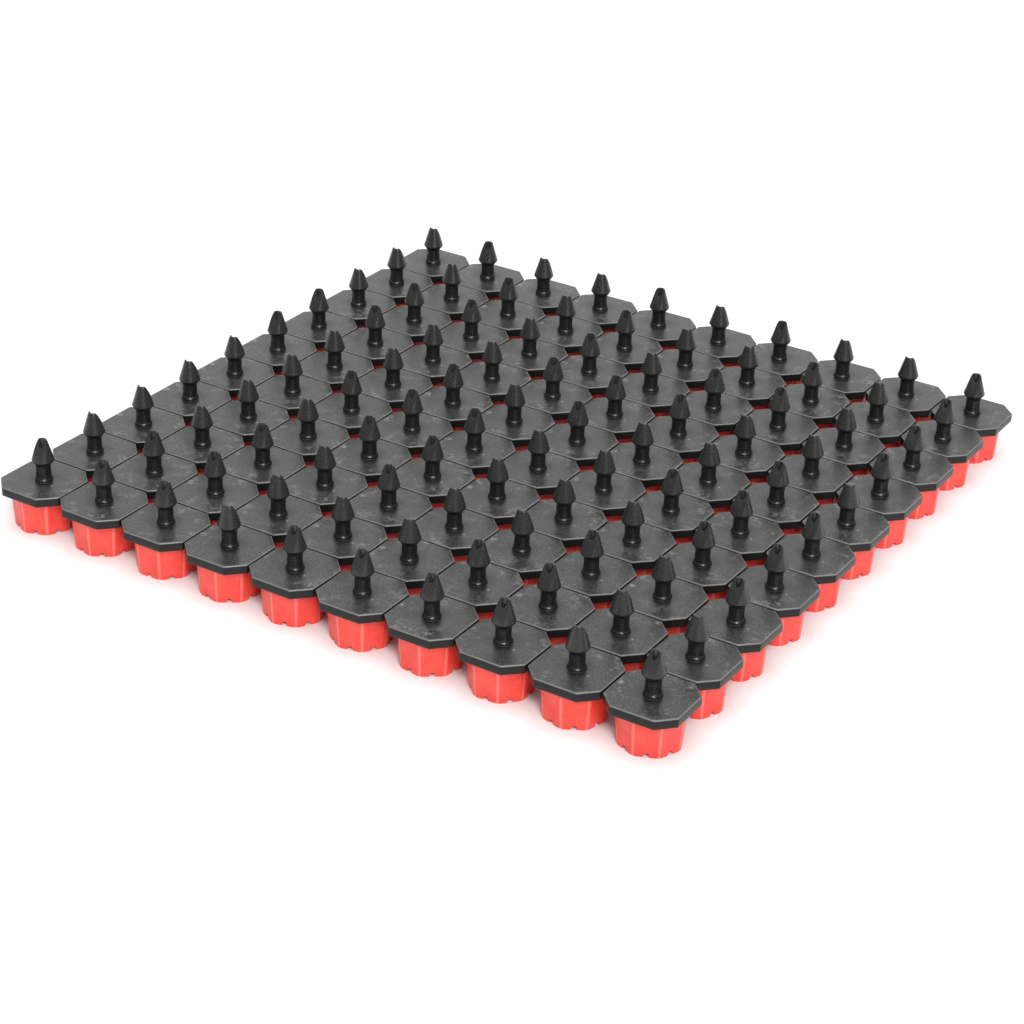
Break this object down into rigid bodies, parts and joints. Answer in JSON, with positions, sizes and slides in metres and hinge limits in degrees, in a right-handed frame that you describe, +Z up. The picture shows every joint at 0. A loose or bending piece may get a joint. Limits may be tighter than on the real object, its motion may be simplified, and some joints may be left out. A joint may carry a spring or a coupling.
{
  "type": "block of adjustable drip emitters",
  "caption": "Square block of loose adjustable drip emitters laid flange to flange, each a black base with a slant-cut hose barb up and a red screw cap with outlets below.",
  "frame": {"origin": "centre of the block in plan, on the plane that the caps' closed ends stand on", "axes": "+Z up along the barbs; +X along a row, from column 1 to column 10; +Y from row 1 to row 10"},
  "size_m": [0.2116, 0.2116, 0.025],
  "materials": {
    "black_base": "satin moulded",
    "red_cap": "satin moulded"
  },
  "bodies": {
    "block": {"base_row_1": "black_base", "base_row_2": "black_base", "base_row_3": "black_base", "base_row_4": "black_base", "base_row_5": "black_base", "base_row_6": "black_base", "base_row_7": "black_base", "base_row_8": "black_base", "base_row_9": "black_base", "base_row_10": "black_base", "inner_caps_row_2": "red_cap", "inner_caps_row_3": "red_cap", "inner_caps_row_4": "red_cap", "inner_caps_row_5": "red_cap", "inner_caps_row_6": "red_cap", "inner_caps_row_7": "red_cap", "inner_caps_row_8": "red_cap", "inner_caps_row_9": "red_cap"},
    "cap_r1_c1": {"cap_r1_c1": "red_cap"},
    "cap_r1_c2": {"cap_r1_c2": "red_cap"},
    "cap_r1_c3": {"cap_r1_c3": "red_cap"},
    "cap_r1_c4": {"cap_r1_c4": "red_cap"},
    "cap_r1_c5": {"cap_r1_c5": "red_cap"},
    "cap_r1_c6": {"cap_r1_c6": "red_cap"},
    "cap_r1_c7": {"cap_r1_c7": "red_cap"},
    "cap_r1_c8": {"cap_r1_c8": "red_cap"},
    "cap_r1_c9": {"cap_r1_c9": "red_cap"},
    "cap_r1_c10": {"cap_r1_c10": "red_cap"},
    "cap_r2_c1": {"cap_r2_c1": "red_cap"},
    "cap_r2_c10": {"cap_r2_c10": "red_cap"},
    "cap_r3_c1": {"cap_r3_c1": "red_cap"},
    "cap_r3_c10": {"cap_r3_c10": "red_cap"},
    "cap_r4_c1": {"cap_r4_c1": "red_cap"},
    "cap_r4_c10": {"cap_r4_c10": "red_cap"},
    "cap_r5_c1": {"cap_r5_c1": "red_cap"},
    "cap_r5_c10": {"cap_r5_c10": "red_cap"},
    "cap_r6_c1": {"cap_r6_c1": "red_cap"},
    "cap_r6_c10": {"cap_r6_c10": "red_cap"},
    "cap_r7_c1": {"cap_r7_c1": "red_cap"},
    "cap_r7_c10": {"cap_r7_c10": "red_cap"},
    "cap_r8_c1": {"cap_r8_c1": "red_cap"},
    "cap_r8_c10": {"cap_r8_c10": "red_cap"},
    "cap_r9_c1": {"cap_r9_c1": "red_cap"},
    "cap_r9_c10": {"cap_r9_c10": "red_cap"},
    "cap_r10_c1": {"cap_r10_c1": "red_cap"},
    "cap_r10_c2": {"cap_r10_c2": "red_cap"},
    "cap_r10_c3": {"cap_r10_c3": "red_cap"},
    "cap_r10_c4": {"cap_r10_c4": "red_cap"},
    "cap_r10_c5": {"cap_r10_c5": "red_cap"},
    "cap_r10_c6": {"cap_r10_c6": "red_cap"},
    "cap_r10_c7": {"cap_r10_c7": "red_cap"},
    "cap_r10_c8": {"cap_r10_c8": "red_cap"},
    "cap_r10_c9": {"cap_r10_c9": "red_cap"},
    "cap_r10_c10": {"cap_r10_c10": "red_cap"}
  },
  "joints": [
    {"name": "turn_r1_c1", "type": "hinge", "parent": "block", "child": "cap_r1_c1", "pos_m": [-0.0954, -0.0954, 0], "axis": [0, 0, -1], "range_deg": [0, 470]},
    {"name": "turn_r1_c2", "type": "hinge", "parent": "block", "child": "cap_r1_c2", "pos_m": [-0.0742, -0.0954, 0], "axis": [0, 0, -1], "range_deg": [0, 470]},
    {"name": "turn_r1_c3", "type": "hinge", "parent": "block", "child": "cap_r1_c3", "pos_m": [-0.053, -0.0954, 0], "axis": [0, 0, -1], "range_deg": [0, 470]},
    {"name": "turn_r1_c4", "type": "hinge", "parent": "block", "child": "cap_r1_c4", "pos_m": [-0.0318, -0.0954, 0], "axis": [0, 0, -1], "range_deg": [0, 470]},
    {"name": "turn_r1_c5", "type": "hinge", "parent": "block", "child": "cap_r1_c5", "pos_m": [-0.0106, -0.0954, 0], "axis": [0, 0, -1], "range_deg": [0, 470]},
    {"name": "turn_r1_c6", "type": "hinge", "parent": "block", "child": "cap_r1_c6", "pos_m": [0.0106, -0.0954, 0], "axis": [0, 0, -1], "range_deg": [0, 470]},
    {"name": "turn_r1_c7", "type": "hinge", "parent": "block", "child": "cap_r1_c7", "pos_m": [0.0318, -0.0954, 0], "axis": [0, 0, -1], "range_deg": [0, 470]},
    {"name": "turn_r1_c8", "type": "hinge", "parent": "block", "child": "cap_r1_c8", "pos_m": [0.053, -0.0954, 0], "axis": [0, 0, -1], "range_deg": [0, 470]},
    {"name": "turn_r1_c9", "type": "hinge", "parent": "block", "child": "cap_r1_c9", "pos_m": [0.0742, -0.0954, 0], "axis": [0, 0, -1], "range_deg": [0, 470]},
    {"name": "turn_r1_c10", "type": "hinge", "parent": "block", "child": "cap_r1_c10", "pos_m": [0.0954, -0.0954, 0], "axis": [0, 0, -1], "range_deg": [0, 470]},
    {"name": "turn_r2_c1", "type": "hinge", "parent": "block", "child": "cap_r2_c1", "pos_m": [-0.0954, -0.0742, 0], "axis": [0, 0, -1], "range_deg": [0, 470]},
    {"name": "turn_r2_c10", "type": "hinge", "parent": "block", "child": "cap_r2_c10", "pos_m": [0.0954, -0.0742, 0], "axis": [0, 0, -1], "range_deg": [0, 470]},
    {"name": "turn_r3_c1", "type": "hinge", "parent": "block", "child": "cap_r3_c1", "pos_m": [-0.0954, -0.053, 0], "axis": [0, 0, -1], "range_deg": [0, 470]},
    {"name": "turn_r3_c10", "type": "hinge", "parent": "block", "child": "cap_r3_c10", "pos_m": [0.0954, -0.053, 0], "axis": [0, 0, -1], "range_deg": [0, 470]},
    {"name": "turn_r4_c1", "type": "hinge", "parent": "block", "child": "cap_r4_c1", "pos_m": [-0.0954, -0.0318, 0], "axis": [0, 0, -1], "range_deg": [0, 470]},
    {"name": "turn_r4_c10", "type": "hinge", "parent": "block", "child": "cap_r4_c10", "pos_m": [0.0954, -0.0318, 0], "axis": [0, 0, -1], "range_deg": [0, 470]},
    {"name": "turn_r5_c1", "type": "hinge", "parent": "block", "child": "cap_r5_c1", "pos_m": [-0.0954, -0.0106, 0], "axis": [0, 0, -1], "range_deg": [0, 470]},
    {"name": "turn_r5_c10", "type": "hinge", "parent": "block", "child": "cap_r5_c10", "pos_m": [0.0954, -0.0106, 0], "axis": [0, 0, -1], "range_deg": [0, 470]},
    {"name": "turn_r6_c1", "type": "hinge", "parent": "block", "child": "cap_r6_c1", "pos_m": [-0.0954, 0.0106, 0], "axis": [0, 0, -1], "range_deg": [0, 470]},
    {"name": "turn_r6_c10", "type": "hinge", "parent": "block", "child": "cap_r6_c10", "pos_m": [0.0954, 0.0106, 0], "axis": [0, 0, -1], "range_deg": [0, 470]},
    {"name": "turn_r7_c1", "type": "hinge", "parent": "block", "child": "cap_r7_c1", "pos_m": [-0.0954, 0.0318, 0], "axis": [0, 0, -1], "range_deg": [0, 470]},
    {"name": "turn_r7_c10", "type": "hinge", "parent": "block", "child": "cap_r7_c10", "pos_m": [0.0954, 0.0318, 0], "axis": [0, 0, -1], "range_deg": [0, 470]},
    {"name": "turn_r8_c1", "type": "hinge", "parent": "block", "child": "cap_r8_c1", "pos_m": [-0.0954, 0.053, 0], "axis": [0, 0, -1], "range_deg": [0, 470]},
    {"name": "turn_r8_c10", "type": "hinge", "parent": "block", "child": "cap_r8_c10", "pos_m": [0.0954, 0.053, 0], "axis": [0, 0, -1], "range_deg": [0, 470]},
    {"name": "turn_r9_c1", "type": "hinge", "parent": "block", "child": "cap_r9_c1", "pos_m": [-0.0954, 0.0742, 0], "axis": [0, 0, -1], "range_deg": [0, 470]},
    {"name": "turn_r9_c10", "type": "hinge", "parent": "block", "child": "cap_r9_c10", "pos_m": [0.0954, 0.0742, 0], "axis": [0, 0, -1], "range_deg": [0, 470]},
    {"name": "turn_r10_c1", "type": "hinge", "parent": "block", "child": "cap_r10_c1", "pos_m": [-0.0954, 0.0954, 0], "axis": [0, 0, -1], "range_deg": [0, 470]},
    {"name": "turn_r10_c2", "type": "hinge", "parent": "block", "child": "cap_r10_c2", "pos_m": [-0.0742, 0.0954, 0], "axis": [0, 0, -1], "range_deg": [0, 470]},
    {"name": "turn_r10_c3", "type": "hinge", "parent": "block", "child": "cap_r10_c3", "pos_m": [-0.053, 0.0954, 0], "axis": [0, 0, -1], "range_deg": [0, 470]},
    {"name": "turn_r10_c4", "type": "hinge", "parent": "block", "child": "cap_r10_c4", "pos_m": [-0.0318, 0.0954, 0], "axis": [0, 0, -1], "range_deg": [0, 470]},
    {"name": "turn_r10_c5", "type": "hinge", "parent": "block", "child": "cap_r10_c5", "pos_m": [-0.0106, 0.0954, 0], "axis": [0, 0, -1], "range_deg": [0, 470]},
    {"name": "turn_r10_c6", "type": "hinge", "parent": "block", "child": "cap_r10_c6", "pos_m": [0.0106, 0.0954, 0], "axis": [0, 0, -1], "range_deg": [0, 470]},
    {"name": "turn_r10_c7", "type": "hinge", "parent": "block", "child": "cap_r10_c7", "pos_m": [0.0318, 0.0954, 0], "axis": [0, 0, -1], "range_deg": [0, 470]},
    {"name": "turn_r10_c8", "type": "hinge", "parent": "block", "child": "cap_r10_c8", "pos_m": [0.053, 0.0954, 0], "axis": [0, 0, -1], "range_deg": [0, 470]},
    {"name": "turn_r10_c9", "type": "hinge", "parent": "block", "child": "cap_r10_c9", "pos_m": [0.0742, 0.0954, 0], "axis": [0, 0, -1], "range_deg": [0, 470]},
    {"name": "turn_r10_c10", "type": "hinge", "parent": "block", "child": "cap_r10_c10", "pos_m": [0.0954, 0.0954, 0], "axis": [0, 0, -1], "range_deg": [0, 470]}
  ]
}
